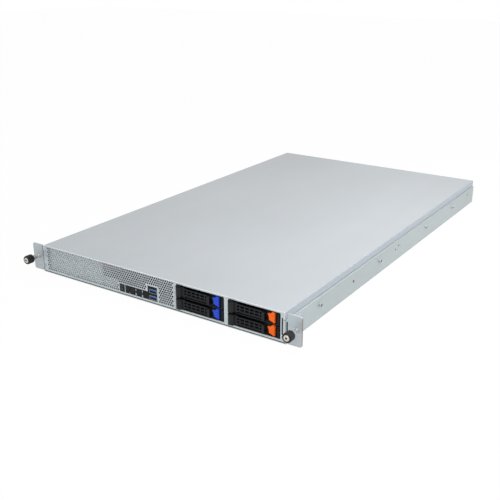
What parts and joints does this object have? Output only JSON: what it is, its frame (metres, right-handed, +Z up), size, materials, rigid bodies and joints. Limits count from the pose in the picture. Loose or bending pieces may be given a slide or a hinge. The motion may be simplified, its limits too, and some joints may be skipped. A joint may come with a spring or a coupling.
{
  "type": "rack server",
  "caption": "Flat rack-mount server case with a perforated front, swing-lever drive trays, captive thumbscrews on rack ears, and slide-out power supplies.",
  "frame": {"origin": "on the resting face, mid-width, in the plane of the ears' rear faces, which meet the rack posts", "axes": "+Y runs to the rear, +X is to the right seen from the front, +Z is up"},
  "size_m": [0.4826, 0.771, 0.0435],
  "materials": {
    "galvanised": "smooth zinc-plated sheet",
    "cover_sheet": "smooth zinc-plated sheet, slightly brighter",
    "inner_sheet": "zinc-plated sheet",
    "bright_steel": "nickel-plated turned steel",
    "screw_steel": "turned steel",
    "black_plastic": "fine textured black",
    "grey_plastic": "satin dark grey",
    "knob_plastic": "black, knurled",
    "blue_plastic": "satin blue",
    "orange_plastic": "satin orange",
    "usb_blue": "bright blue",
    "usb_metal": "tin-plated",
    "window": "clear light pipe",
    "board": "solder-masked laminate",
    "module_board": "solder-masked laminate",
    "socket_plastic": "moulded connector plastic",
    "fin_metal": "extruded, clear",
    "fan_plastic": "glass-filled plastic",
    "duct_plastic": "thin moulded plastic",
    "cable": "flat ribbon insulation",
    "brass_post": "turned",
    "tag_card": "thin plastic card"
  },
  "bodies": {
    "chassis": {"chassis_tray": "galvanised", "vent_panel": "galvanised", "bay_frame": "galvanised", "rear_panel": "galvanised", "ear_left": "galvanised", "ear_right": "galvanised", "rail_studs": "bright_steel", "ear_ferrules": "bright_steel", "front_moulding": "black_plastic", "indicator_windows": "window", "usb_shells": "usb_metal", "usb_tongues": "usb_blue", "drive_cage": "inner_sheet", "drive_backplane": "board", "front_io_board": "board", "riser_cage": "inner_sheet", "riser_touch_tab": "orange_plastic", "fan_bracket": "inner_sheet", "fan_frames": "fan_plastic", "motherboard": "board", "standoffs": "brass_post", "processor_heatsinks": "fin_metal", "memory_sockets": "socket_plastic", "memory_modules": "module_board", "air_duct": "duct_plastic", "signal_cable": "cable", "network_jacks": "usb_metal", "rear_ports": "socket_plastic"},
    "cover": {"top_cover": "cover_sheet"},
    "tray_1": {"tray_carrier_1": "black_plastic"},
    "lever_1": {"tray_lever_1": "grey_plastic"},
    "latch_1": {"tray_latch_1": "blue_plastic"},
    "tray_2": {"tray_carrier_2": "black_plastic"},
    "lever_2": {"tray_lever_2": "grey_plastic"},
    "latch_2": {"tray_latch_2": "blue_plastic"},
    "tray_3": {"tray_carrier_3": "black_plastic"},
    "lever_3": {"tray_lever_3": "grey_plastic"},
    "latch_3": {"tray_latch_3": "orange_plastic"},
    "tray_4": {"tray_carrier_4": "black_plastic"},
    "lever_4": {"tray_lever_4": "grey_plastic"},
    "latch_4": {"tray_latch_4": "orange_plastic"},
    "button_1": {"front_button_1": "grey_plastic"},
    "button_2": {"front_button_2": "grey_plastic"},
    "button_3": {"front_button_3": "grey_plastic"},
    "tag": {"info_tag": "tag_card"},
    "rotor_1": {"fan_rotor_1": "fan_plastic"},
    "rotor_2": {"fan_rotor_2": "fan_plastic"},
    "rotor_3": {"fan_rotor_3": "fan_plastic"},
    "rotor_4": {"fan_rotor_4": "fan_plastic"},
    "screw_guide_right": {"retaining_ring_right": "bright_steel"},
    "screw_right": {"thumbscrew_right": "screw_steel", "thumbscrew_knob_right": "knob_plastic"},
    "screw_guide_left": {"retaining_ring_left": "bright_steel"},
    "screw_left": {"thumbscrew_left": "screw_steel", "thumbscrew_knob_left": "knob_plastic"},
    "supply_1": {"power_supply_1": "inner_sheet"},
    "supply_release_1": {"supply_latch_1": "orange_plastic"},
    "supply_2": {"power_supply_2": "inner_sheet"},
    "supply_release_2": {"supply_latch_2": "orange_plastic"}
  },
  "joints": [
    {"name": "cover_lift", "type": "slide", "parent": "chassis", "child": "cover", "axis": [0, 0, 1], "range_m": [0, 0.06]},
    {"name": "tray_slide_1", "type": "slide", "parent": "chassis", "child": "tray_1", "axis": [0, -1, 0], "range_m": [0, 0.125]},
    {"name": "lever_hinge_1", "type": "hinge", "parent": "tray_1", "child": "lever_1", "pos_m": [0.0494, -0.0026, 0.0136], "axis": [0, 0, -1], "range_deg": [0, 60]},
    {"name": "latch_slide_1", "type": "slide", "parent": "tray_1", "child": "latch_1", "axis": [1, 0, 0], "range_m": [0, 0.0025], "stiffness_N_per_m": 300},
    {"name": "tray_slide_2", "type": "slide", "parent": "chassis", "child": "tray_2", "axis": [0, -1, 0], "range_m": [0, 0.125]},
    {"name": "lever_hinge_2", "type": "hinge", "parent": "tray_2", "child": "lever_2", "pos_m": [0.0494, -0.0026, 0.0318], "axis": [0, 0, -1], "range_deg": [0, 60]},
    {"name": "latch_slide_2", "type": "slide", "parent": "tray_2", "child": "latch_2", "axis": [1, 0, 0], "range_m": [0, 0.0025], "stiffness_N_per_m": 300},
    {"name": "tray_slide_3", "type": "slide", "parent": "chassis", "child": "tray_3", "axis": [0, -1, 0], "range_m": [0, 0.125]},
    {"name": "lever_hinge_3", "type": "hinge", "parent": "tray_3", "child": "lever_3", "pos_m": [0.136, -0.0026, 0.0136], "axis": [0, 0, -1], "range_deg": [0, 60]},
    {"name": "latch_slide_3", "type": "slide", "parent": "tray_3", "child": "latch_3", "axis": [1, 0, 0], "range_m": [0, 0.0025], "stiffness_N_per_m": 300},
    {"name": "tray_slide_4", "type": "slide", "parent": "chassis", "child": "tray_4", "axis": [0, -1, 0], "range_m": [0, 0.125]},
    {"name": "lever_hinge_4", "type": "hinge", "parent": "tray_4", "child": "lever_4", "pos_m": [0.136, -0.0026, 0.0318], "axis": [0, 0, -1], "range_deg": [0, 60]},
    {"name": "latch_slide_4", "type": "slide", "parent": "tray_4", "child": "latch_4", "axis": [1, 0, 0], "range_m": [0, 0.0025], "stiffness_N_per_m": 300},
    {"name": "button_press_1", "type": "slide", "parent": "chassis", "child": "button_1", "axis": [0, 1, 0], "range_m": [0, 0.0008], "stiffness_N_per_m": 400},
    {"name": "button_press_2", "type": "slide", "parent": "chassis", "child": "button_2", "axis": [0, 1, 0], "range_m": [0, 0.0008], "stiffness_N_per_m": 400},
    {"name": "button_press_3", "type": "slide", "parent": "chassis", "child": "button_3", "axis": [0, 1, 0], "range_m": [0, 0.0008], "stiffness_N_per_m": 400},
    {"name": "tag_pull", "type": "slide", "parent": "chassis", "child": "tag", "axis": [0, -1, 0], "range_m": [0, 0.045]},
    {"name": "fan_spin_1", "type": "hinge", "parent": "chassis", "child": "rotor_1", "pos_m": [-0.126, 0.167, 0.0215], "axis": [0, 1, 0], "continuous": true},
    {"name": "fan_spin_2", "type": "hinge", "parent": "chassis", "child": "rotor_2", "pos_m": [-0.042, 0.167, 0.0215], "axis": [0, 1, 0], "continuous": true},
    {"name": "fan_spin_3", "type": "hinge", "parent": "chassis", "child": "rotor_3", "pos_m": [0.042, 0.167, 0.0215], "axis": [0, 1, 0], "continuous": true},
    {"name": "fan_spin_4", "type": "hinge", "parent": "chassis", "child": "rotor_4", "pos_m": [0.126, 0.167, 0.0215], "axis": [0, 1, 0], "continuous": true},
    {"name": "screw_push_right", "type": "slide", "parent": "chassis", "child": "screw_guide_right", "axis": [0, 1, 0], "range_m": [0, 0.008], "stiffness_N_per_m": 400},
    {"name": "screw_turn_right", "type": "hinge", "parent": "screw_guide_right", "child": "screw_right", "pos_m": [0.23255, -0.02, 0.0222], "axis": [0, 1, 0], "continuous": true},
    {"name": "screw_push_left", "type": "slide", "parent": "chassis", "child": "screw_guide_left", "axis": [0, 1, 0], "range_m": [0, 0.008], "stiffness_N_per_m": 400},
    {"name": "screw_turn_left", "type": "hinge", "parent": "screw_guide_left", "child": "screw_left", "pos_m": [-0.23255, -0.02, 0.0222], "axis": [0, 1, 0], "continuous": true},
    {"name": "supply_slide_1", "type": "slide", "parent": "chassis", "child": "supply_1", "axis": [0, 1, 0], "range_m": [0, 0.19]},
    {"name": "supply_latch_press_1", "type": "slide", "parent": "supply_1", "child": "supply_release_1", "axis": [-1, 0, 0], "range_m": [0, 0.0025], "stiffness_N_per_m": 300},
    {"name": "supply_slide_2", "type": "slide", "parent": "chassis", "child": "supply_2", "axis": [0, 1, 0], "range_m": [0, 0.19]},
    {"name": "supply_latch_press_2", "type": "slide", "parent": "supply_2", "child": "supply_release_2", "axis": [-1, 0, 0], "range_m": [0, 0.0025], "stiffness_N_per_m": 300}
  ]
}
